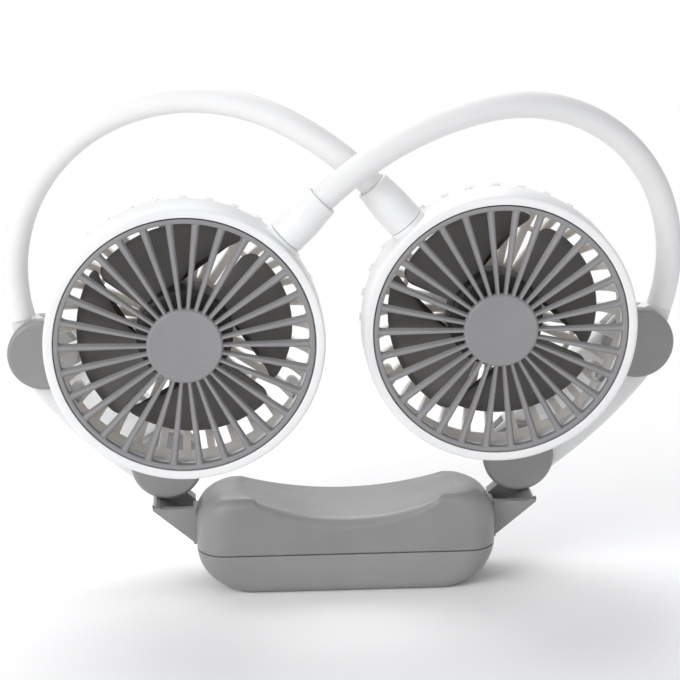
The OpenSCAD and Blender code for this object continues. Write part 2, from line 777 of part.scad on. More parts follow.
module head_shell(side) {
    inner_r = head_r - head_wall;
    color(white) difference() {
        union() {
            at_head(side) {
                rotate_extrude($fn = 2 * fine) {
                    difference() {
                        polygon([[grille_seat_r, 0], [head_r - head_front_edge, 0],
                            [head_r, head_front_edge], [head_r, guard_front_d], [inner_r, guard_front_d],
                            [inner_r, grille_t + ledge_t], [ledge_r, grille_t + ledge_t],
                            [ledge_r, grille_t], [grille_seat_r, grille_t]]);
                        difference() {
                            translate([shoulder_x, shoulder_d]) square(2 * shoulder_r);
                            translate([shoulder_x, shoulder_d]) circle(shoulder_r, $fn = 2 * fine);
                        }
                    }
                }
                ring_of(3) translate([0, -screw_ring_r, guard_front_d - head_screw_l / 2])
                    cylinder(r = boss_r, h = head_screw_l / 2, $fn = medium);
            }
            on_collar_axis(-side) translate([0, 0, inner_r + overrun / 2])
                cylinder(r = collar_r, h = head_r + boss_proud - inner_r - overrun / 2, $fn = medium);
        }
        on_collar_axis(-side) translate([0, 0, inner_r - 2 * overrun])
            cylinder(r = stem_r + run_gap, h = 2 * head_wall + 4 * overrun, $fn = medium);
        at_head(side) ring_of(3) translate([0, -screw_ring_r, 0])
            cylinder(r = head_screw_r + run_gap, h = 2 * head_d, $fn = coarse);
    }
}

module spoke() {
    root_r = grille_hub_r - overrun / 2;
    end_r = grille_r - grille_ring_w;
    flare = 1.1;
    raised = 0.6;
    set_back = 0.2;
    translate([0, 0, raised]) linear_extrude(grille_t - raised - set_back) polygon([
        [root_r, -spoke_inner_w / 2], [end_r - flare, -spoke_outer_w / 2],
        [end_r + overrun / 2, -spoke_outer_w / 2 - flare], [end_r + overrun / 2, spoke_outer_w / 2 + flare],
        [end_r - flare, spoke_outer_w / 2], [root_r, spoke_inner_w / 2]]);
    translate([0, 0, set_back]) linear_extrude(grille_t / 2) polygon([
        [root_r, -spoke_inner_w / 4], [end_r + overrun / 2, -spoke_outer_w / 4],
        [end_r + overrun / 2, spoke_outer_w / 4], [root_r, spoke_inner_w / 4]]);
}

module head_grille(side) {
    dome = 0.4;
    color(grey) at_head(side) {
        ring_of(spoke_count) spoke();
        rotate_extrude($fn = 2 * fine) {
            translate([grille_r - grille_ring_w, 0]) square([grille_ring_w, grille_t]);
            polygon([[0, -dome], [grille_hub_r - 2 * dome, -dome], [grille_hub_r, dome],
                [grille_hub_r, grille_t], [0, grille_t]]);
        }
    }
}

module guard_shell(proud) {
    difference() {
        back_curve(shoulder_r + proud);
        back_curve(shoulder_r - guard_t);
        square([2 * head_r, guard_front_d]);
    }
}

// The part of the rounded back up to an angle, measured from its front end
module shoulder_wedge(angle) {
    reach = 2 * shoulder_r;
    polygon([[shoulder_x, shoulder_d], [shoulder_x + reach, shoulder_d],
        [shoulder_x + reach * cos(angle), shoulder_d + reach * sin(angle)]]);
}

module head_guard(side) {
    color(white) at_head(side) difference() {
        union() {
            intersection() {
                rotate_extrude($fn = 2 * fine) difference() {
                    guard_shell(guard_bar_proud);
                    shoulder_wedge(bar_start_angle);
                }
                translate([0, 0, guard_front_d]) linear_extrude(head_d) ring_of(guard_bar_count)
                    translate([0, -guard_bar_w / 2]) square([head_r + overrun, guard_bar_w]);
            }
            rotate_extrude($fn = 2 * fine) intersection() {
                guard_shell(0);
                union() {
                    shoulder_wedge(rim_end_angle);
                    square([guard_plate_r, 2 * head_d]);
                    translate([hoop_r, 0]) square([hoop_w, 2 * head_d]);
                }
            }
            intersection() {
                rotate_extrude($fn = 2 * fine) back_curve(shoulder_r);
                ring_of(3) translate([0, -screw_ring_r, guard_front_d]) {
                    cylinder(r = boss_r, h = head_d, $fn = medium);
                }
            }
        }
        ring_of(3) translate([0, -screw_ring_r, 0]) {
            cylinder(r = head_screw_r + run_gap, h = 2 * head_d, $fn = coarse);
            translate([0, 0, guard_front_d + head_screw_l / 2]) cylinder(r = head_screw_head_r + rest_gap,
                h = head_d, $fn = medium);
        }
    }
}

module head_screws(side) {
    color(steel) at_head(side) ring_of(3)
        translate([0, -screw_ring_r, guard_front_d - head_screw_l / 2 + overrun]) {
            cylinder(r = head_screw_r, h = head_screw_l, $fn = coarse);
            translate([0, 0, head_screw_l - overrun])
                cylinder(r = head_screw_head_r, h = overrun, $fn = medium);
        }
}

module motor(side) {
    color(steel) at_head(side) difference() {
        translate([0, 0, motor_front_d]) cylinder(r = motor_r, h = motor_rear_d - motor_front_d, $fn = fine);
        translate([0, 0, motor_front_d - overrun])
            cylinder(r = shaft_r + run_gap, h = (motor_rear_d - motor_front_d) / 2 + overrun, $fn = coarse);
    }
}

module shaft(side) {
    front = hub_front_d + hub_wall / 2;
    color(steel) at_head(side) translate([0, 0, front])
        cylinder(r = shaft_r, h = (motor_front_d + motor_rear_d) / 2 - front - rest_gap, $fn = coarse);
}

blade_w = blade_turn * blade_t / blade_d;
tip_inset = asin(tip_corner_r / (rotor_r - tip_corner_r));

module blade() {
    root_r = blade_root_share * rotor_hub_r;
    intersection() {
        translate([0, 0, blade_front_d]) linear_extrude(blade_d, twist = -blade_turn, slices = blade_slices)
            polygon(concat([for (a = [-1, 1]) root_r * turned(-a * blade_w / 2)],
                [for (a = [-1, 0, 1]) rotor_r * turned(a * blade_w / 2)]));
        linear_extrude(2 * head_d) hull() {
            circle(rotor_hub_r, $fn = coarse / 2);
            for (share = [0 : 0.25 : 1])
                rotate([0, 0, tip_inset - blade_w / 2 + share * (blade_turn + blade_w - 2 * tip_inset)])
                    translate([rotor_r - tip_corner_r, 0]) circle(tip_corner_r, $fn = coarse);
        }
    }
}

module rotor(side) {
    collet_r = 2.4;
    color(dark_grey) at_head(side) {
        ring_of(blade_count) rotate([0, 0, rotor_rest_angle]) blade();
        difference() {
            rotate_extrude($fn = fine) {
                polygon([[0, hub_front_d], [rotor_hub_r - hub_wall, hub_front_d],
                    [rotor_hub_r, hub_front_d + hub_wall], [rotor_hub_r, hub_rear_d],
                    [rotor_hub_r - hub_wall, hub_rear_d], [rotor_hub_r - hub_wall, hub_front_d + hub_wall],
                    [collet_r, hub_front_d + hub_wall], [collet_r, motor_front_d - 2 * rest_gap],
                    [0, motor_front_d - 2 * rest_gap]]);
            }
            translate([0, 0, hub_front_d + hub_wall / 2])
                cylinder(r = shaft_r + run_gap / 3, h = head_d, $fn = coarse);
        }
    }
}

lower_shell();
upper_shell();
battery_cell();
control_board();
charging_inlet();
indicator_lens();
shell_screws();
power_button();
bracket(left);  // left_bracket
bracket(right);  // right_bracket
link(left);  // left_link
cap(left, low_hinge_x, low_hinge_z);  // left_lower_cap
cap(left, high_hinge_x, high_hinge_z);  // left_upper_cap
pin(left, low_hinge_x, low_hinge_z);  // left_lower_pin
pin(left, high_hinge_x, high_hinge_z);  // left_upper_pin
link(right);  // right_link
cap(right, low_hinge_x, low_hinge_z);  // right_lower_cap
cap(right, high_hinge_x, high_hinge_z);  // right_upper_cap
pin(right, low_hinge_x, low_hinge_z);  // right_lower_pin
pin(right, high_hinge_x, high_hinge_z);  // right_upper_pin
arm_knuckle(left);  // left_arm_knuckle
arm_tube(left);  // left_arm_tube
arm_core(left);  // left_arm_core
arm_collar(left);  // left_arm_collar
arm_knuckle(right);  // right_arm_knuckle
arm_tube(right);  // right_arm_tube
arm_core(right);  // right_arm_core
arm_collar(right);  // right_arm_collar
head_shell(left);  // left_head_shell
head_grille(left);  // left_head_grille
head_guard(left);  // left_head_guard
head_screws(left);  // left_head_screws
motor(left);  // left_motor
rotor(left);  // left_rotor
shaft(left);  // left_shaft
head_shell(right);  // right_head_shell
head_grille(right);  // right_head_grille
head_guard(right);  // right_head_guard
head_screws(right);  // right_head_screws
motor(right);  // right_motor
rotor(right);  // right_rotor
shaft(right);  // right_shaft
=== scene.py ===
import math

import bmesh
import bpy
from mathutils import Matrix, Vector


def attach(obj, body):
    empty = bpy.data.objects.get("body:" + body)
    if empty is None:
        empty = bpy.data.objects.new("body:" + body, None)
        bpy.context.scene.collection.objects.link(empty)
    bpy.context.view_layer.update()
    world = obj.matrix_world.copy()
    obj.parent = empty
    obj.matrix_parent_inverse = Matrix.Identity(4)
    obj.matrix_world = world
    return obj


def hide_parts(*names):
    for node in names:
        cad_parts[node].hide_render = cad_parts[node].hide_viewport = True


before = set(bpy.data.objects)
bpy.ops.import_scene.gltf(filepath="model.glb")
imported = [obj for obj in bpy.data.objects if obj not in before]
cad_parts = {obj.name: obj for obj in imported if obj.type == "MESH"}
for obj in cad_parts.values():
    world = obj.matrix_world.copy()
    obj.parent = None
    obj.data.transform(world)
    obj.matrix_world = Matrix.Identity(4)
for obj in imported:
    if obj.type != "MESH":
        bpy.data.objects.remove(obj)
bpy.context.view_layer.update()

MM = 0.001
LEFT, RIGHT = -1, 1
SIDE_NAME = {LEFT: "left", RIGHT: "right"}


# Sizes of the object, in millimetres as in the construction

BOX_W, BOX_D = 94, 30
BOX_FRONT_H, BOX_REAR_H = 32, 29.5
SADDLE_FRONT_Z, SADDLE_REAR_Z = 24, 25.2
PARTING_Z = 12.7
BASE_CORNER_R, CREST_CORNER_R, PLAN_CORNER_R = 14, 10, 9
BOX_EDGE_R, BOX_WALL, RIM_BAND = 3, 2, 0.6
PORT_Z, INLET_W, INLET_H = 8.6, 9, 3.2
BUTTON_R, LENS_R = 3.2, 1.3
INLET_X, BUTTON_X, LENS_X = 0.35 * BOX_W, 0.13 * BOX_W, 0.235 * BOX_W

LOW_HINGE, HIGH_HINGE = Vector((56, 36.5)), Vector((93.4, 73.6))
HINGE_Y, CAP_R, CAP_T, PIN_R, PIN_HEAD_R, TONGUE_T = 12.5, 11.3, 3.9, 2, 4, 5
LINK_T, LINK_END_R, LINK_BOW, LINK_EDGE_R = 9, 10.8, 2.4, 2
FORK_R, FORK_GAP = CAP_R + 0.4, 0.15

TUBE_R, COLLAR_R, COLLAR_L, STEM_R = 4, 5.8, 15.5, 2.6
BEND = {LEFT: (57.4, Vector((44.2, 98))), RIGHT: (54.3, Vector((48.9, 99.2)))}
COLLAR_ANGLE = {LEFT: 48.5, RIGHT: 45.5}
HEAD_R, HEAD_D, HEAD_WALL, SHOULDER_R = 41.5, 28, 1.8, 16
HEAD_X = {LEFT: 49.5, RIGHT: 45.5}
HEAD_Z = 87
HEAD_FRONT = {LEFT: 33.5, RIGHT: 23.5}
BOSS_DEPTH, BOSS_PROUD, COLLAR_SOCKET = 8, 1.3, 3
COLLAR_BASE_R = HEAD_R + BOSS_PROUD + 0.1
TUBE_END_R = COLLAR_BASE_R + COLLAR_L - COLLAR_SOCKET
TUBE_START_Z = HIGH_HINGE[1] + 10.4

SPOKES, GRILLE_HUB_R, GRILLE_R, GRILLE_RING_W, GRILLE_T = 30, 11.3, 38.4, 1.5, 2.4
SPOKE_INNER_W, SPOKE_OUTER_W, SPOKE_FLARE_R = 1.2, 2.2, 0.8
GUARD_FRONT_D = 14
SHOULDER_X, SHOULDER_D = HEAD_R - SHOULDER_R, HEAD_D - SHOULDER_R
BLADES, ROTOR_R, ROTOR_HUB_R, BLADE_D, BLADE_T = 4, 32.5, 14.5, 11, 1.4
BLADE_FRONT_D, HUB_FRONT_D, HUB_REAR_D, HUB_WALL = 12.8, 10.5, 22, 1.3


# Camera, first of all: the photograph's view, through a long lens

CAMERA_AT = Vector((-0.0472, -0.6530, 0.2721))
VIEW_AZIMUTH, VIEW_ELEVATION = -4.0, 16.5
FOCAL_LENGTH_PX, FRAME_PX, SENSOR_MM = 2200, 680, 36
CLIP_NEAR, CLIP_FAR = 0.01, 20


def make_camera():
    a, e = math.radians(VIEW_AZIMUTH), math.radians(VIEW_ELEVATION)
    back = Vector((math.sin(a) * math.cos(e), -math.cos(a) * math.cos(e), math.sin(e)))
    right = Vector((math.cos(a), math.sin(a), 0))
    axes = Matrix((right, back.cross(right), back)).transposed()
    data = bpy.data.cameras.new("camera")
    data.sensor_width = SENSOR_MM
    data.lens = SENSOR_MM * FOCAL_LENGTH_PX / FRAME_PX
    data.clip_start, data.clip_end = CLIP_NEAR, CLIP_FAR
    camera = bpy.data.objects.new("camera", data)
    camera.matrix_world = Matrix.Translation(CAMERA_AT) @ axes.to_4x4()
    bpy.context.scene.collection.objects.link(camera)
    bpy.context.scene.camera = camera


make_camera()


# Materials. Colours are linear, texture scales are per metre.

MOTTLE_SCALE, SMUDGE_SCALE, GRAIN_SCALE = 38, 110, 2600
GRAIN_DEPTH = 0.1 * MM
# Painted shade: the colour that creases and recesses are darkened to, between these occlusion levels.
CREASE_SHADE_COLOUR, CREASE_SHADE_OPEN, CREASE_SHADE_SHUT = (0.012, 0.012, 0.012), 0.55, 0.05
GLOW_RADIUS, GLOW_SCALE = (0.004, 0.0035, 0.003), 0.5


def shader_node(tree, kind, **values):
    """A node with these values: each name is a setting of the node or else an input."""
    node = tree.nodes.new(kind)
    for key, value in values.items():
        if hasattr(node, key):
            setattr(node, key, value)
        else:
            node.inputs[key].default_value = value
    return node


def noise(tree, scale, detail, rough, place):
    node = shader_node(tree, "ShaderNodeTexNoise", Scale=scale, Detail=detail, Roughness=rough)
    tree.links.new(place, node.inputs["Vector"])
    return node.outputs["Fac"]


def mapped(tree, value, low, high, from_low=0.35, from_high=0.65):
    span = {"From Min": from_low, "From Max": from_high, "To Min": low, "To Max": high}
    node = shader_node(tree, "ShaderNodeMapRange", **span)
    tree.links.new(value, node.inputs["Value"])
    return node.outputs["Result"]


def mixed(tree, factor, first, second):
    """One colour over another; each is a socket or a plain colour."""
    node = shader_node(tree, "ShaderNodeMix", data_type="RGBA")
    factor_in, first_in, second_in = node.inputs[0], node.inputs[6], node.inputs[7]
    tree.links.new(factor, factor_in)
    for socket, value in ((first_in, first), (second_in, second)):
        if isinstance(value, bpy.types.NodeSocket):
            tree.links.new(value, socket)
        else:
            socket.default_value = (*value, 1)
    return node.outputs[2]


def shows_background(tree):
    """1 for the rays that look at the background, straight or through gloss and glass."""
    path = shader_node(tree, "ShaderNodeLightPath")
    seen = path.outputs["Is Camera Ray"]
    for kind in ("Is Glossy Ray", "Is Transmission Ray"):
        either = shader_node(tree, "ShaderNodeMath", operation="MAXIMUM")
        tree.links.new(seen, either.inputs[0])
        tree.links.new(path.outputs[kind], either.inputs[1])
        seen = either.outputs[0]
    return seen


def plastic(name, colour, dust, roughness, grain=GRAIN_SCALE, bump=0.05, edge=0.3, crease_shade=0.0,
            metallic=0.0, glow=0.0):
    """Moulded material: mottled colour, fine grain, soft edges, painted shade in creases and uneven gloss.
    """
    material = bpy.data.materials.new(name)
    material.use_nodes = True
    tree = material.node_tree
    shader = tree.nodes["Principled BSDF"]
    place = shader_node(tree, "ShaderNodeTexCoord").outputs["Object"]
    mottle = noise(tree, MOTTLE_SCALE, 4, 0.6, place)
    fine = noise(tree, grain, 2, 0.6, place)
    smudge = noise(tree, SMUDGE_SCALE, 5, 0.65, place)
    base = mixed(tree, mapped(tree, mottle, 0, 1), colour, dust)
    if crease_shade:
        # Painted shade: an occlusion mask darkens the colour in creases, recesses and between parts.
        hidden = shader_node(tree, "ShaderNodeAmbientOcclusion", samples=6, Distance=crease_shade * MM)
        shade = mapped(tree, hidden.outputs["AO"], 1, 0, CREASE_SHADE_SHUT, CREASE_SHADE_OPEN)
        base = mixed(tree, shade, base, CREASE_SHADE_COLOUR)
    tree.links.new(base, shader.inputs["Base Color"])
    tree.links.new(mapped(tree, smudge, *roughness), shader.inputs["Roughness"])
    shader.inputs["Metallic"].default_value = metallic
    if glow:
        shader.inputs["Subsurface Weight"].default_value = glow
        shader.inputs["Subsurface Radius"].default_value = GLOW_RADIUS
        shader.inputs["Subsurface Scale"].default_value = GLOW_SCALE
    raised = shader_node(tree, "ShaderNodeBump", Strength=bump, Distance=GRAIN_DEPTH)
    tree.links.new(fine, raised.inputs["Height"])
    if edge:
        soft = shader_node(tree, "ShaderNodeBevel", samples=4, Radius=edge * MM)
        tree.links.new(soft.outputs["Normal"], raised.inputs["Normal"])
    tree.links.new(raised.outputs["Normal"], shader.inputs["Normal"])
    return material


GREY = plastic("grey_satin_plastic", (0.234, 0.229, 0.227), (0.263, 0.258, 0.256), (0.32, 0.42), bump=0.10)
# Painted shade: the grille's colour darkens on the spokes' flanks and in the slots between them.
GRILLE_GREY = plastic("grille_grey_plastic", (0.234, 0.229, 0.235), (0.258, 0.252, 0.258), (0.42, 0.55),
                      bump=0.10, edge=0.08, crease_shade=1.0)
WHITE = plastic("white_satin_plastic", (0.78, 0.785, 0.79), (0.82, 0.82, 0.82), (0.34, 0.46), bump=0.04)
# Painted shade: the links' white is a darker copy of the white plastic, so they do not wash out under the
# lamps.
LINK_SHADED_WHITE = plastic("white_link_painted_shade", (0.70, 0.705, 0.71), (0.73, 0.73, 0.73), (0.34, 0.46), bump=0.04)
# Painted light: the guard's white is lighter than the shell's white plastic, to lift the shaded inside of
# the head.
GUARD_LIT_WHITE = plastic("guard_white_painted_light", (0.86, 0.84, 0.82), (0.88, 0.86, 0.84), (0.4, 0.52),
                      bump=0.04, glow=0.9)
SLEEVE = plastic("white_silicone_sleeve", (0.76, 0.76, 0.76), (0.79, 0.79, 0.79), (0.52, 0.66),
                 grain=1800, bump=0.08, edge=0)
# Painted shade: the rotor's hub is drawn black for the deep shade behind the grille's disc.
ROTOR_HUB_SHADE = plastic("rotor_hub_painted_shade", (0.016, 0.016, 0.016), (0.022, 0.022, 0.022), (0.45, 0.6),
                      bump=0.06)
# Painted shade: the blades' colour darkens where they overlap and towards the hub.
ROTOR_GREY = plastic("rotor_dark_plastic", (0.125, 0.116, 0.110), (0.145, 0.136, 0.128), (0.35, 0.48),
                     bump=0.06, crease_shade=9)
STEEL = plastic("turned_steel", (0.56, 0.56, 0.57), (0.62, 0.62, 0.62), (0.24, 0.38),
                grain=900, metallic=1.0, edge=0.15)
MOTOR_STEEL = plastic("motor_can_steel", (0.30, 0.30, 0.31), (0.36, 0.36, 0.37), (0.3, 0.42),
                      grain=900, metallic=1.0, edge=0.2)
CELL_WRAP = plastic("cell_wrap", (0.10, 0.17, 0.33), (0.12, 0.20, 0.37), (0.25, 0.36), bump=0.03)
BOARD_GREEN = plastic("board_green", (0.02, 0.12, 0.05), (0.03, 0.15, 0.06), (0.3, 0.42), edge=0.1)
LENS_WHITE = plastic("lens_frosted", (0.72, 0.76, 0.74), (0.78, 0.82, 0.80), (0.25, 0.35),
                     bump=0.03, edge=0.1)

NODE_MATERIAL = {
    "lower_shell": GREY, "upper_shell": GREY, "battery_cell": CELL_WRAP, "control_board": BOARD_GREEN,
    "charging_inlet": STEEL, "indicator_lens": LENS_WHITE, "shell_screws": STEEL, "power_button": WHITE}
PART_MATERIAL = {
    "bracket": GREY, "link": LINK_SHADED_WHITE, "lower_cap": GREY, "upper_cap": GREY, "lower_pin": STEEL,
    "upper_pin": STEEL, "arm_knuckle": WHITE, "arm_tube": SLEEVE, "arm_core": STEEL, "arm_collar": WHITE,
    "head_shell": WHITE, "head_grille": GRILLE_GREY, "head_guard": GUARD_LIT_WHITE, "head_screws": STEEL,
    "motor": MOTOR_STEEL, "rotor": ROTOR_GREY, "shaft": STEEL}
for side_name in SIDE_NAME.values():
    for part, material in PART_MATERIAL.items():
        NODE_MATERIAL[side_name + "_" + part] = material


def dress_nodes():
    for node, material in NODE_MATERIAL.items():
        for slot in bpy.data.objects[node].material_slots:
            slot.material = material


dress_nodes()


# Mesh tools. All pieces are built in millimetres and scaled once.

MERGE_WITHIN = 1e-4


def turned(angle):
    return Vector((math.cos(math.radians(angle)), math.sin(math.radians(angle))))


def arc(centre, radius, start, end, steps):
    return [Vector(centre) + radius * turned(start + (end - start) * i / steps) for i in range(steps + 1)]


def filleted(corners, steps=5):
    """A closed outline from (x, y, radius) corners, each rounded by its radius."""
    points = []
    for i, (x, y, radius) in enumerate(corners):
        here = Vector((x, y))
        if radius <= 0:
            points.append(here)
            continue
        before = Vector(corners[i - 1][:2]) - here
        after = Vector(corners[(i + 1) % len(corners)][:2]) - here
        half = before.angle(after) / 2
        reach = radius / math.tan(half)
        centre = here + (before.normalized() + after.normalized()).normalized() * radius / math.sin(half)
        first = here + reach * before.normalized() - centre
        last = here + reach * after.normalized() - centre
        sweep = first.angle_signed(last)
        points += [centre + Matrix.Rotation(-sweep * k / steps, 2) @ first for k in range(steps + 1)]
    return points


def circle(radius, sides):
    """Points of a full circle, from local X on."""
    return [Vector((radius * math.cos(t), radius * math.sin(t)))
            for t in (2 * math.pi * k / sides for k in range(sides))]


def add_loft(bm, rings, capped=True, closed=False):
    """Quads between rings of points; a row of rings can end in faces or close on itself."""
    rows = [[bm.verts.new(p) for p in ring] for ring in rings]
    count = len(rows[0])
    pairs = list(zip(rows, rows[1:])) + ([(rows[-1], rows[0])] if closed else [])
    for low, high in pairs:
        for k in range(count):
            n = (k + 1) % count
            bm.faces.new((low[k], low[n], high[n], high[k]))
    if capped and not closed:
        bm.faces.new(rows[0][::-1])
        bm.faces.new(rows[-1])
    return rows


def add_revolve(bm, profile, segments, place=Matrix.Identity(4)):
    """Turns a closed outline of (radius, depth) points round local Z."""
    rings = []
    for i in range(segments):
        a = 2 * math.pi * i / segments
        rings.append([place @ Vector((r * math.cos(a), r * math.sin(a), d)) for r, d in profile])
    add_loft(bm, rings, closed=True)


def add_layers(bm, outlines, place):
    """A solid through outlines of (x, y) points at heights."""
    add_loft(bm, [[place @ Vector((x, y, height)) for x, y in outline] for outline, height in outlines])


def mesh_object(name, bm):
    """Ends a mesh that was built in millimetres and puts it in the scene."""
    bmesh.ops.remove_doubles(bm, verts=bm.verts, dist=MERGE_WITHIN)
    bmesh.ops.recalc_face_normals(bm, faces=bm.faces)
    bmesh.ops.scale(bm, vec=(MM, MM, MM), verts=bm.verts)
    mesh = bpy.data.meshes.new(name)
    bm.to_mesh(mesh)
    bm.free()
    obj = bpy.data.objects.new(name, mesh)
    bpy.context.scene.collection.objects.link(obj)
    return obj


def apply_modifiers(obj):
    depsgraph = bpy.context.evaluated_depsgraph_get()
    mesh = bpy.data.meshes.new_from_object(obj.evaluated_get(depsgraph))
    old = obj.data
    obj.modifiers.clear()
    obj.data = mesh
    bpy.data.meshes.remove(old)


def carve(obj, *cutters):
    for cutter in cutters:
        modifier = obj.modifiers.new("carve", "BOOLEAN")
        modifier.operation = "DIFFERENCE"
        modifier.solver = "EXACT"
        modifier.object = cutter
    apply_modifiers(obj)
    for cutter in cutters:
        bpy.data.objects.remove(cutter)


def soften(obj, width, segments=3, angle=35):
    modifier = obj.modifiers.new("soften", "BEVEL")
    modifier.width = width * MM
    modifier.segments = segments
    modifier.limit_method = "ANGLE"
    modifier.angle_limit = math.radians(angle)
    apply_modifiers(obj)


def dressed(obj, material, body, node, sharp=40):
    """Gives a piece its material and body, and lets it stand for a node, which it hides."""
    obj.data.materials.clear()
    obj.data.materials.append(material)
    obj.data.shade_smooth()
    obj.data.set_sharp_from_angle(angle=math.radians(sharp))
    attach(obj, body)
    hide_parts(node)


def backward(x, front_y, z):
    """Local Z to the back, local X to the right, local Y down."""
    return Matrix.Translation((x, front_y, z)) @ Matrix(((1, 0, 0), (0, 0, 1), (0, -1, 0))).to_4x4()


def upright(front_y, side):
    """Local X outward, local Y up, local Z to the back."""
    return Matrix.Translation((0, front_y, 0)) @ Matrix(((side, 0, 0), (0, 0, 1), (0, 1, 0))).to_4x4()


def layers_object(name, outlines, place=Matrix.Identity(4)):
    bm = bmesh.new()
    add_layers(bm, outlines, place)
    return mesh_object(name, bm)


def cylinder(place, radius, height, sides=64):
    """A cutter that stands on local Z."""
    outline = circle(radius, sides)
    return layers_object("cut", [(outline, 0), (outline, height)], place)


def block(low, high):
    """A cutter from one corner to the other."""
    outline = [(low[0], low[1]), (high[0], low[1]), (high[0], high[1]), (low[0], high[1])]
    return layers_object("cut", [(outline, low[2]), (outline, high[2])])


# Battery box: the construction's front views, with more steps

SADDLE_STEPS, CORNER_STEPS, EDGE_STEPS, PLAN_STEPS, BELLY_STEPS = 22, 16, 9, 3, 8
SEAM_LOW, SEAM_HIGH, SEAM_DEPTH = PARTING_Z, PARTING_Z + 0.45, 0.7
SEAM_LAP_HIGH, SEAM_LAP_LOW = 0.6, 0.02
BOX_BEVEL = 0.22
PORT_GAP, LENS_GAP, INLET_GAP, INLET_CORNER_R = 0.1, 0.05, 0.2, 1.2
SCREW_SPOTS = ((-0.32 * BOX_W, 8.6), (0.383 * BOX_W, -0.23 * BOX_D))
SCREW_R, SCREW_FROM_Z, SCREW_HOLE_H = 2.1, -1, 4.3
PLUG_IN_X, PLUG_OUT_X, PLUG_FRONT_Y, PLUG_REAR_Y, PLUG_TOP_Z = 42.9, 50, -3.1, 9.1, 23.0


def fall(r, depth):
    """How far a rounded edge of this radius lies inside its side, at a depth from its face."""
    return 0.0 if depth >= r else r - math.sqrt(r * r - (r - depth) ** 2)


def circle_y(r, x):
    return math.sqrt(max(0.0, r * r - x * x))


def along_y(y, front, rear):
    return front + (rear - front) * (y / BOX_D + 0.5)


def top_line(x, y, crest_x, edge):
    """Height of the box's top: a saddle between two rounded crests."""
    top = along_y(y, BOX_FRONT_H, BOX_REAR_H)
    dip = top - along_y(y, SADDLE_FRONT_Z, SADDLE_REAR_Z)
    reach = (crest_x * crest_x + dip * dip) / (2 * dip)
    saddle_r = reach - CREST_CORNER_R + edge
    if abs(x) < saddle_r * crest_x / reach:
        return top - dip + reach - CREST_CORNER_R - circle_y(saddle_r, x)
    return top - CREST_CORNER_R + circle_y(CREST_CORNER_R - edge, max(0, abs(x) - crest_x))


def box_view(y, edge, narrow):
    """The box's front view at a depth, drawn in by its rounded edge and made narrower by its plan."""
    half_w = BOX_W / 2 - narrow
    corner_x, corner_r = half_w - BASE_CORNER_R, BASE_CORNER_R - edge
    flat = [corner_x * i / SADDLE_STEPS for i in range(-SADDLE_STEPS, SADDLE_STEPS + 1)]
    ends = [corner_x + corner_r * math.sin(math.pi / 2 * i / CORNER_STEPS)
            for i in range(1, CORNER_STEPS + 1)]
    xs = [-x for x in ends[::-1]] + flat + ends
    low = [Vector((x, y, BASE_CORNER_R - circle_y(corner_r, max(0, abs(x) - corner_x)))) for x in xs]
    high = [Vector((x, y, top_line(x, y, half_w - CREST_CORNER_R, edge))) for x in reversed(xs)]
    return low + high


def box_solid(name, skin):
    """The box, or the same form with its skin taken off."""
    edge_r, plan_r, half_d = BOX_EDGE_R - skin, PLAN_CORNER_R - skin, BOX_D / 2 - skin
    depths = [edge_r * (1 - math.cos(math.pi / 2 * i / EDGE_STEPS)) for i in range(EDGE_STEPS + 1)]
    depths += [edge_r + (plan_r - edge_r) * i / PLAN_STEPS for i in range(1, PLAN_STEPS + 1)]
    belly = [plan_r + (2 * half_d - 2 * plan_r) * i / BELLY_STEPS for i in range(1, BELLY_STEPS)]
    rings = []
    for d in depths + belly + [2 * half_d - d for d in reversed(depths)]:
        depth = min(d, 2 * half_d - d)
        edge = fall(edge_r, depth)
        rings.append(box_view(d - half_d, skin + edge, fall(plan_r, depth) - edge))
    front, rear = (box_view(y, skin + edge_r + RIM_BAND, plan_r - edge_r) for y in (-half_d, half_d))
    bm = bmesh.new()
    rows = add_loft(bm, [front] + rings + [rear], capped=False)
    for row, order in ((rows[0], 1), (rows[-1], -1)):
        count = len(row)
        for k in range(count // 2 - 1):
            face = (row[k], row[count - 1 - k], row[count - 2 - k], row[k + 1])
            bm.faces.new(face[::order])
    return mesh_object(name, bm)


def rear_port_cutters():
    y, depth = BOX_D / 2 - 2 * BOX_WALL, 4 * BOX_WALL
    half_w, half_h = INLET_W / 2 + INLET_GAP, INLET_H / 2 + INLET_GAP
    corners = ((-half_w, -half_h), (half_w, -half_h), (half_w, half_h), (-half_w, half_h))
    mouth = filleted([(*corner, INLET_CORNER_R) for corner in corners])
    return [cylinder(backward(BUTTON_X, y, PORT_Z), BUTTON_R + PORT_GAP, depth),
            cylinder(backward(LENS_X, y, PORT_Z), LENS_R + LENS_GAP, depth),
            layers_object("cut", [(mouth, 0), (mouth, depth)], backward(INLET_X, y, PORT_Z))]


def screw_cutters():
    return [cylinder(Matrix.Translation((x, y, SCREW_FROM_Z)), SCREW_R, SCREW_HOLE_H)
            for x, y in SCREW_SPOTS]


def plug_notches():
    """Openings in the box's ends for the brackets' plugs."""
    spans = ((-PLUG_OUT_X, -PLUG_IN_X), (PLUG_IN_X, PLUG_OUT_X))
    return [block((low_x, PLUG_FRONT_Y, 0), (high_x, PLUG_REAR_Y, PLUG_TOP_Z)) for low_x, high_x in spans]


def below(z):
    return block((-2 * BOX_W, -2 * BOX_W, -2 * BOX_W), (2 * BOX_W, 2 * BOX_W, z))


def above(z):
    return block((-2 * BOX_W, -2 * BOX_W, z), (2 * BOX_W, 2 * BOX_W, 2 * BOX_W))


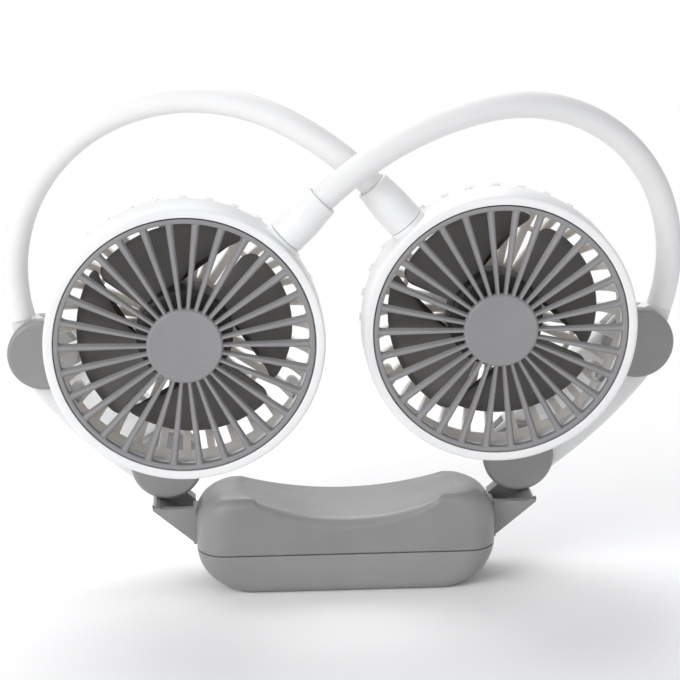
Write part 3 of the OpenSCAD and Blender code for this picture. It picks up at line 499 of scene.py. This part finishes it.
def make_box():
    lower = box_solid("box_lower", 0)
    carve(lower, above(SEAM_LOW), box_solid("cut", BOX_WALL))
    carve(lower, *rear_port_cutters(), *screw_cutters())
    soften(lower, BOX_BEVEL)
    dressed(lower, GREY, "box", "lower_shell")

    upper = box_solid("box_upper", 0)
    carve(upper, below(SEAM_HIGH), box_solid("cut", BOX_WALL))
    carve(upper, *plug_notches())
    soften(upper, BOX_BEVEL)
    dressed(upper, GREY, "box", "upper_shell")

    seam = box_solid("box_seam", SEAM_DEPTH)
    carve(seam, above(SEAM_HIGH + SEAM_LAP_HIGH), below(SEAM_LOW + SEAM_LAP_LOW),
          box_solid("cut", BOX_WALL))
    carve(seam, *plug_notches())
    dressed(seam, GREY, "box", "upper_shell")


# Links: an outline with one bowed edge, its edges rounded, forked at both ends

LINK = HIGH_HINGE - LOW_HINGE
LINK_LEN, LINK_ANGLE = LINK.length, math.degrees(math.atan2(LINK[1], LINK[0]))
BOW_RISE = (LINK_LEN ** 2 / 4 - LINK_BOW ** 2) / (2 * LINK_BOW)
BOW_R = BOW_RISE + LINK_END_R + LINK_BOW
BOW_LEAN = math.degrees(math.atan2(LINK_LEN / 2, BOW_RISE))
BOW_STEPS, END_STEPS, LINK_EDGE_STEPS = 24, 28, 6
PIN_GAP, PIN_HEAD_GAP, PIN_HEAD_SUNK, LINK_BEVEL = 0.02, 0.1, 1.2, 0.18


def link_outline(inset):
    r = LINK_END_R - inset
    points = arc((LINK_LEN / 2, BOW_RISE), BOW_R - inset, -90 - BOW_LEAN, -90 + BOW_LEAN, BOW_STEPS)
    points += arc((LINK_LEN, 0), r, -90 + BOW_LEAN, 90, END_STEPS)[1:]
    points += arc((0, 0), r, 90, 270 - BOW_LEAN, END_STEPS)[:-1]
    turn = Matrix.Rotation(math.radians(LINK_ANGLE), 2)
    return [LOW_HINGE + turn @ p for p in points]


def hinge_cutters(x, z):
    """The fork's slot, the pin's hole and the seat of its head."""
    slot_front, rear = HINGE_Y - TONGUE_T / 2 - FORK_GAP, HINGE_Y + LINK_T / 2
    return [cylinder(backward(x, slot_front, z), FORK_R, TONGUE_T + 2 * FORK_GAP, 96),
            cylinder(backward(x, 0, z), PIN_R + PIN_GAP, 2 * BOX_D),
            cylinder(backward(x, rear - PIN_HEAD_SUNK, z), PIN_HEAD_R + PIN_HEAD_GAP, 2 * PIN_HEAD_SUNK)]


def make_link(side):
    layers = []
    for i in range(LINK_EDGE_STEPS + 1):
        a = math.pi / 2 * i / LINK_EDGE_STEPS
        layers.append((link_outline(LINK_EDGE_R * (1 - math.sin(a))), LINK_EDGE_R * (1 - math.cos(a))))
    layers += [(outline, LINK_T - height) for outline, height in reversed(layers)]
    name = SIDE_NAME[side] + "_link"
    link = layers_object(name + "_arm", layers, upright(HINGE_Y - LINK_T / 2, side))
    carve(link, *(cutter for x, z in (LOW_HINGE, HIGH_HINGE) for cutter in hinge_cutters(side * x, z)))
    soften(link, LINK_BEVEL, 2)
    dressed(link, LINK_SHADED_WHITE, name, name)


# Arms: the construction's path of two arcs that touch, with eased depth.
# Each arm carries the head of the other side. Its flat points are (outward, up).

TUBE_RINGS, TUBE_SIDES, SHARE_STEP = 150, 40, 0.002
NECK_WALL, SOCKET_GAP, STEM_FLANGE, STEM_FLANGE_T, STEM_GAP, STEM_LAP = 1.1, 0.15, 0.8, 1, 0.2, 1
TOWARDS_BACK = Vector((0, 1, 0))


def far_head(side):
    return Vector((-HEAD_X[-side], HEAD_Z))


def collar_dir(side):
    return -turned(COLLAR_ANGLE[side])


def arm_end_y(side):
    return -HEAD_FRONT[-side] + BOSS_DEPTH


class ArmPath:
    """The tube's middle line, from 0 at the upper hinge to 1 in the collar."""

    def __init__(self, side):
        self.side = side
        self.bend_r, self.bend = BEND[side]
        aim = collar_dir(side)
        mouth = far_head(side) - TUBE_END_R * aim
        normal = Vector((aim[1], -aim[0]))
        offset = mouth - self.bend
        self.second_r = (self.bend_r ** 2 - offset.dot(offset)) / (2 * (self.bend_r - normal.dot(offset)))
        self.second = mouth - self.second_r * normal
        self.start_angle = math.degrees(math.asin((TUBE_START_Z - self.bend[1]) / self.bend_r))
        first, last = (self.second, self.bend) if self.second_r > self.bend_r else (self.bend, self.second)
        self.touch_angle = self.angle_at(last, first)
        self.end_angle = self.angle_at(mouth, self.second)
        first_length = self.bend_r * (self.touch_angle - self.start_angle)
        second_length = self.second_r * (self.end_angle - self.touch_angle)
        self.first_share = first_length / (first_length + second_length)

    @staticmethod
    def angle_at(point, centre):
        return math.degrees(math.atan2(point[1] - centre[1], point[0] - centre[0]))

    def point(self, share):
        if share < self.first_share:
            angle = self.start_angle + (self.touch_angle - self.start_angle) * share / self.first_share
            flat = self.bend + self.bend_r * turned(angle)
        else:
            rest = (share - self.first_share) / (1 - self.first_share)
            angle = self.touch_angle + (self.end_angle - self.touch_angle) * rest
            flat = self.second + self.second_r * turned(angle)
        eased = share * share * (3 - 2 * share)
        return Vector((self.side * flat[0], HINGE_Y + (arm_end_y(self.side) - HINGE_Y) * eased, flat[1]))

    def along(self, share):
        """Direction of the line; exact at both ends."""
        if share <= 0:
            a = math.radians(self.start_angle)
            return Vector((-self.side * math.sin(a), 0, math.cos(a)))
        if share >= 1:
            aim = collar_dir(self.side)
            return Vector((self.side * aim[0], 0, aim[1]))
        return (self.point(share + SHARE_STEP) - self.point(share - SHARE_STEP)).normalized()


def make_tube(side):
    path = ArmPath(side)
    rings = []
    for i in range(TUBE_RINGS + 1):
        share = i / TUBE_RINGS
        along = path.along(share)
        across = along.cross(TOWARDS_BACK).normalized()
        aside = across.cross(along)
        rings.append([path.point(share) + x * across + y * aside for x, y in circle(TUBE_R, TUBE_SIDES)])
    bm = bmesh.new()
    add_loft(bm, rings)
    name = SIDE_NAME[side]
    dressed(mesh_object(name + "_arm_sleeve", bm), SLEEVE, name + "_arm",
            name + "_arm_tube")


def on_collar_axis(side):
    """Local Z runs from the head's axis out along the collar of the arm on this side."""
    aim = collar_dir(side)
    outward = Vector((-side * aim[0], 0, -aim[1]))
    axes = Matrix((TOWARDS_BACK.cross(outward), TOWARDS_BACK, outward)).transposed()
    centre = (side * far_head(side)[0], arm_end_y(side), HEAD_Z)
    return Matrix.Translation(centre) @ axes.to_4x4()


def make_collar(side):
    """The collar, which tapers to the tube, and the stem that turns in the head's wall."""
    base, mouth = COLLAR_BASE_R, COLLAR_BASE_R + COLLAR_L
    neck_r, socket_r = TUBE_R + NECK_WALL, TUBE_R + SOCKET_GAP
    collar = filleted([(0, base, 0), (COLLAR_R, base, 0.5), (COLLAR_R, base + COLLAR_L / 2, 5),
                       (neck_r, mouth, 0.45), (socket_r, mouth, 0.3), (socket_r, TUBE_END_R, 0),
                       (0, TUBE_END_R, 0)])
    flange_r, flange_out = STEM_R + STEM_FLANGE, HEAD_R - HEAD_WALL - STEM_GAP
    flange_in = flange_out - STEM_FLANGE_T
    stem = [(0, flange_in), (flange_r, flange_in), (flange_r, flange_out), (STEM_R, flange_out),
            (STEM_R, base + STEM_LAP), (0, base + STEM_LAP)]
    bm = bmesh.new()
    add_revolve(bm, collar, 72, on_collar_axis(side))
    add_revolve(bm, stem, 40, on_collar_axis(side))
    name = SIDE_NAME[side]
    dressed(mesh_object(name + "_arm_ferrule", bm), WHITE, name + "_arm",
            name + "_arm_collar")


# Heads: local Z runs from the front face to the back. Profiles are (radius, depth).

HEAD_SIDES, SHOULDER_LAP = 192, 7.18
SEAT_GAP, LEDGE_IN, LEDGE_BACK_D, FACE_FILLET, SEAT_FILLET = 0.25, 1.6, 4.4, 0.9, 0.25
STEM_HOLE_GAP, BOSS_LAP, BOSS_FILLET = 0.1, 0.5, 0.5

SPOKE_BACK_D, SPOKE_LAP, FLARE_STEPS, STRAIGHT_STEPS = GRILLE_T - 0.2, 0.6, 6, 4
SPOKE_RIDGE = ((1, SPOKE_BACK_D), (1, 1.25), (0.94, 1.05), (0.76, 0.95),
               (0.68, 0.5), (0.54, 0.26), (0, 0.16))
ROOT_REACH, ROOT_WIDEN = 0.5, 0.3
DISC_PROUD, DISC_SLOPE, DISC_FILLET, GRILLE_FILLET = 0.4, 0.5, 0.6, 0.3


def head_place(side):
    return backward(side * HEAD_X[side], -HEAD_FRONT[side], HEAD_Z)


def make_head_shell(side):
    inner, seat, ledge = HEAD_R - HEAD_WALL, GRILLE_R + SEAT_GAP, GRILLE_R - LEDGE_IN
    front = filleted([(seat, 0, SEAT_FILLET), (HEAD_R, 0, FACE_FILLET), (HEAD_R, SHOULDER_D, 0)])[:-1]
    shoulder = arc((SHOULDER_X, SHOULDER_D), SHOULDER_R, 0, SHOULDER_LAP, 5)
    inside = [(inner, GUARD_FRONT_D), (inner, LEDGE_BACK_D), (ledge, LEDGE_BACK_D), (ledge, GRILLE_T),
              (seat, GRILLE_T)]
    bm = bmesh.new()
    add_revolve(bm, front + shoulder + [Vector(p) for p in inside], HEAD_SIDES, head_place(side))
    low, top, hole = inner + BOSS_LAP, HEAD_R + BOSS_PROUD, STEM_R + STEM_HOLE_GAP
    boss = filleted([(hole, low, 0), (COLLAR_R, low, 0), (COLLAR_R, top, BOSS_FILLET), (hole, top, 0)])
    add_revolve(bm, boss, 72, on_collar_axis(-side))
    name = SIDE_NAME[side]
    dressed(mesh_object(name + "_head_drum", bm), WHITE, name + "_head",
            name + "_head_shell")


def spoke_half_width(r, ring_r):
    """A spoke widens evenly, flares where it meets the ring, and spreads a little at the disc."""
    share = (r - GRILLE_HUB_R) / (ring_r - GRILLE_HUB_R)
    half = (SPOKE_INNER_W + (SPOKE_OUTER_W - SPOKE_INNER_W) * share) / 2
    to_ring = min(max(0.0, ring_r - r), SPOKE_FLARE_R)
    return half + fall(SPOKE_FLARE_R, to_ring) + ROOT_WIDEN * max(0.0, GRILLE_HUB_R + ROOT_REACH - r)


def spoke_radii(ring_r):
    start, flare = GRILLE_HUB_R + SPOKE_LAP, ring_r - SPOKE_FLARE_R
    straight = [start + (flare - start) * i / STRAIGHT_STEPS for i in range(1, STRAIGHT_STEPS + 1)]
    flared = [ring_r - SPOKE_FLARE_R * (1 - math.sin(math.pi / 2 * i / FLARE_STEPS))
              for i in range(1, FLARE_STEPS + 1)]
    return [GRILLE_HUB_R - SPOKE_LAP, GRILLE_HUB_R, start] + straight + flared + [ring_r + SPOKE_LAP]


def make_grille(side):
    ring_r = GRILLE_R - GRILLE_RING_W
    section = [(-w, d) for w, d in SPOKE_RIDGE[:-1]] + list(SPOKE_RIDGE[::-1])
    bm = bmesh.new()
    place = head_place(side)
    for k in range(SPOKES):
        spin = place @ Matrix.Rotation(2 * math.pi * k / SPOKES, 4, "Z")
        rings = []
        for r in spoke_radii(ring_r):
            half = spoke_half_width(min(r, ring_r), ring_r)
            rings.append([spin @ Vector((r, half * w, d)) for w, d in section])
        add_loft(bm, rings)
    ring = filleted([(ring_r, 0, 0.5), (GRILLE_R, 0, 0.35), (GRILLE_R, GRILLE_T, 0.2),
                     (ring_r, GRILLE_T, GRILLE_FILLET)])
    add_revolve(bm, ring, HEAD_SIDES, place)
    disc = filleted([(GRILLE_HUB_R - DISC_SLOPE, -DISC_PROUD, DISC_FILLET),
                     (GRILLE_HUB_R, DISC_PROUD, GRILLE_FILLET),
                     (GRILLE_HUB_R, GRILLE_T, GRILLE_FILLET), (0, GRILLE_T, 0)])
    add_revolve(bm, [Vector((0, -DISC_PROUD))] + disc, 120, place)
    name = SIDE_NAME[side]
    dressed(mesh_object(name + "_head_cage", bm), GRILLE_GREY, name + "_head",
            name + "_head_grille", sharp=50)


# Rotors and hinge discs

FRONT_EDGE, FRONT_TIP_R = -144, 4.5
REAR_EDGE, REAR_SWEEP, REAR_SWEEP_POWER, REAR_TIP_R = -55, 40, 1.4, 2.5
BLADE_STEPS, BLADE_RADIAL, ROOT_LAP = 30, 16, 0.8
THIN_EDGE, THIN_TIP = 0.12, 0.15
ROTOR_SPIN = {LEFT: 0, RIGHT: -12}
DISC_EDGE_R, CAP_GAP = 1.2, 0.1


def tip_inset(r, tip_r):
    """Angle by which a blade's corner of this radius draws back at a distance from the axis."""
    over = r - (ROTOR_R - tip_r)
    if over <= 0:
        return 0.0
    return math.degrees((tip_r - circle_y(tip_r, over)) / r)


def blade_span(r):
    """Front and rear edge of a blade at a distance from the axis: one radial, one swept."""
    inner = 1 - (r - ROTOR_HUB_R) / (ROTOR_R - ROTOR_HUB_R)
    rear = REAR_EDGE - REAR_SWEEP * inner ** REAR_SWEEP_POWER
    return FRONT_EDGE + tip_inset(r, FRONT_TIP_R), rear - tip_inset(r, REAR_TIP_R)


def blade_point(r, share, face):
    """A point on a blade's front (-1) or back (1), at a share of the way from edge to edge."""
    low, high = blade_span(max(r, ROTOR_HUB_R))
    angle = low + (high - low) * share
    depth = BLADE_FRONT_D + BLADE_D * (angle - FRONT_EDGE) / (REAR_EDGE - FRONT_EDGE)
    root = ROTOR_HUB_R - ROOT_LAP
    swell = BLADE_T * 0.5 * max(THIN_EDGE, 1 - abs(2 * share - 1) ** 6) ** 0.5
    thin = max(THIN_TIP, 1 - ((r - root) / (ROTOR_R - root)) ** 14)
    return Vector((*(r * turned(angle)), depth + face * swell * thin))


def make_rotor(side):
    radii = [ROTOR_HUB_R - ROOT_LAP]
    radii += [ROTOR_HUB_R + (ROTOR_R - ROTOR_HUB_R) * math.sin(math.pi / 2 * j / BLADE_RADIAL)
              for j in range(BLADE_RADIAL + 1)]
    around = [(r, -1) for r in radii] + [(r, 1) for r in reversed(radii)]
    shares = [(1 - math.cos(math.pi * i / BLADE_STEPS)) / 2 for i in range(BLADE_STEPS + 1)]
    place = head_place(side) @ Matrix.Rotation(math.radians(ROTOR_SPIN[side]), 4, "Z")
    bm = bmesh.new()
    for k in range(BLADES):
        spin = place @ Matrix.Rotation(2 * math.pi * k / BLADES, 4, "Z")
        add_loft(bm, [[spin @ blade_point(r, share, face) for r, face in around] for share in shares])
    name = SIDE_NAME[side]
    dressed(mesh_object(name + "_fan_blades", bm), ROTOR_GREY, name + "_rotor",
            name + "_rotor", sharp=50)
    # The hub's black is painted shade behind the grille's disc.
    inner_r, inner_d = ROTOR_HUB_R - HUB_WALL, HUB_FRONT_D + HUB_WALL
    hub = filleted([(ROTOR_HUB_R, HUB_FRONT_D, 1.6), (ROTOR_HUB_R, HUB_REAR_D, 0.2),
                    (inner_r, HUB_REAR_D, 0.2), (inner_r, inner_d, 0.4), (0, inner_d, 0)])
    bm = bmesh.new()
    add_revolve(bm, [Vector((0, HUB_FRONT_D))] + hub, 96, place)
    dressed(mesh_object(name + "_fan_hub", bm), ROTOR_HUB_SHADE, name + "_rotor",
            name + "_rotor")


def make_cap(side, hinge, end):
    profile = filleted([(CAP_R, 0, DISC_EDGE_R), (CAP_R, CAP_T, 0.3), (0, CAP_T, 0)], 8)
    front_y = HINGE_Y - LINK_T / 2 - CAP_GAP - CAP_T
    bm = bmesh.new()
    add_revolve(bm, [Vector((0, 0))] + profile, 120, backward(side * hinge[0], front_y, hinge[1]))
    name = SIDE_NAME[side]
    dressed(mesh_object(name + "_" + end + "_hinge_disc", bm), GREY, name + "_link",
            name + "_" + end + "_cap")


make_box()
for arm_side in (LEFT, RIGHT):
    make_link(arm_side)
    make_cap(arm_side, LOW_HINGE, "lower")
    make_cap(arm_side, HIGH_HINGE, "upper")
    make_tube(arm_side)
    make_collar(arm_side)
    make_head_shell(arm_side)
    make_grille(arm_side)
    make_rotor(arm_side)


# Floor and light, in metres

FLOOR_HALF, FLOOR_COLOUR, FLOOR_ROUGHNESS, FLOOR_GLOSS = 3.0, (0.93, 0.93, 0.93, 1), 0.9, 0.1
FLOOR_SHADE_R, FLOOR_WHITE_R = 0.10, 0.28
AMBIENT_COLOUR, AMBIENT_STRENGTH = (0.96, 0.97, 1.0, 1), 0.45
LIGHT_TARGET = Vector((0, 0, 0.08))
LIGHTS = (("key", (-1.05, -0.85, 0.8), (0.8, 0.8), 12),
          ("front", (-0.3, -1.5, 0.18), (1.0, 0.3), 3),
          ("fill", (1.0, -0.9, 0.6), (0.9, 0.9), 1.2),
          ("top", (-0.2, 0.75, 1.1), (1.1, 1.1), 12))


def mixed_shader(tree, factor, first, second, output):
    blend = shader_node(tree, "ShaderNodeMixShader")
    for socket, source in zip(blend.inputs, (factor, first.outputs[0], second.outputs[0])):
        tree.links.new(source, socket)
    tree.links.new(blend.outputs[0], output.inputs["Surface"])


def floor_material():
    """It takes the shadow near the object and is plain white further out."""
    material = bpy.data.materials.new("floor_white")
    material.use_nodes = True
    tree = material.node_tree
    shader = tree.nodes["Principled BSDF"]
    shader.inputs["Roughness"].default_value = FLOOR_ROUGHNESS
    shader.inputs["Specular IOR Level"].default_value = FLOOR_GLOSS
    shader.inputs["Base Color"].default_value = FLOOR_COLOUR
    length = shader_node(tree, "ShaderNodeVectorMath", operation="LENGTH")
    tree.links.new(shader_node(tree, "ShaderNodeTexCoord").outputs["Object"], length.inputs[0])
    away = mapped(tree, length.outputs["Value"], 0, 1, FLOOR_SHADE_R, FLOOR_WHITE_R)
    share = shader_node(tree, "ShaderNodeMath", operation="MULTIPLY")
    tree.links.new(away, share.inputs[0])
    tree.links.new(shows_background(tree), share.inputs[1])
    white = shader_node(tree, "ShaderNodeEmission")
    mixed_shader(tree, share.outputs[0], shader, white, tree.nodes["Material Output"])
    return material


def make_stage():
    mesh = bpy.data.meshes.new("floor")
    corners = [(x * FLOOR_HALF, y * FLOOR_HALF, 0) for x, y in ((-1, -1), (1, -1), (1, 1), (-1, 1))]
    mesh.from_pydata(corners, [], [(0, 1, 2, 3)])
    mesh.materials.append(floor_material())
    floor = bpy.data.objects.new("floor", mesh)
    bpy.context.scene.collection.objects.link(floor)


def make_lights():
    for name, at, size, power in LIGHTS:
        data = bpy.data.lights.new(name, "AREA")
        data.shape = "RECTANGLE"
        data.size, data.size_y = size
        data.energy = power
        lamp = bpy.data.objects.new(name, data)
        lamp.location = at
        lamp.rotation_euler = (LIGHT_TARGET - Vector(at)).to_track_quat("-Z", "Y").to_euler()
        bpy.context.scene.collection.objects.link(lamp)


def make_world():
    """A soft surround that shows as white wherever the background is seen."""
    world = bpy.data.worlds.new("world")
    bpy.context.scene.world = world
    world.use_nodes = True
    tree = world.node_tree
    tree.nodes.clear()
    ambient = shader_node(tree, "ShaderNodeBackground", Color=AMBIENT_COLOUR, Strength=AMBIENT_STRENGTH)
    backdrop = shader_node(tree, "ShaderNodeBackground", Strength=1.0)
    output = shader_node(tree, "ShaderNodeOutputWorld")
    mixed_shader(tree, shows_background(tree), ambient, backdrop, output)


make_stage()
make_lights()
make_world()
bpy.context.scene.view_settings.view_transform = "Standard"
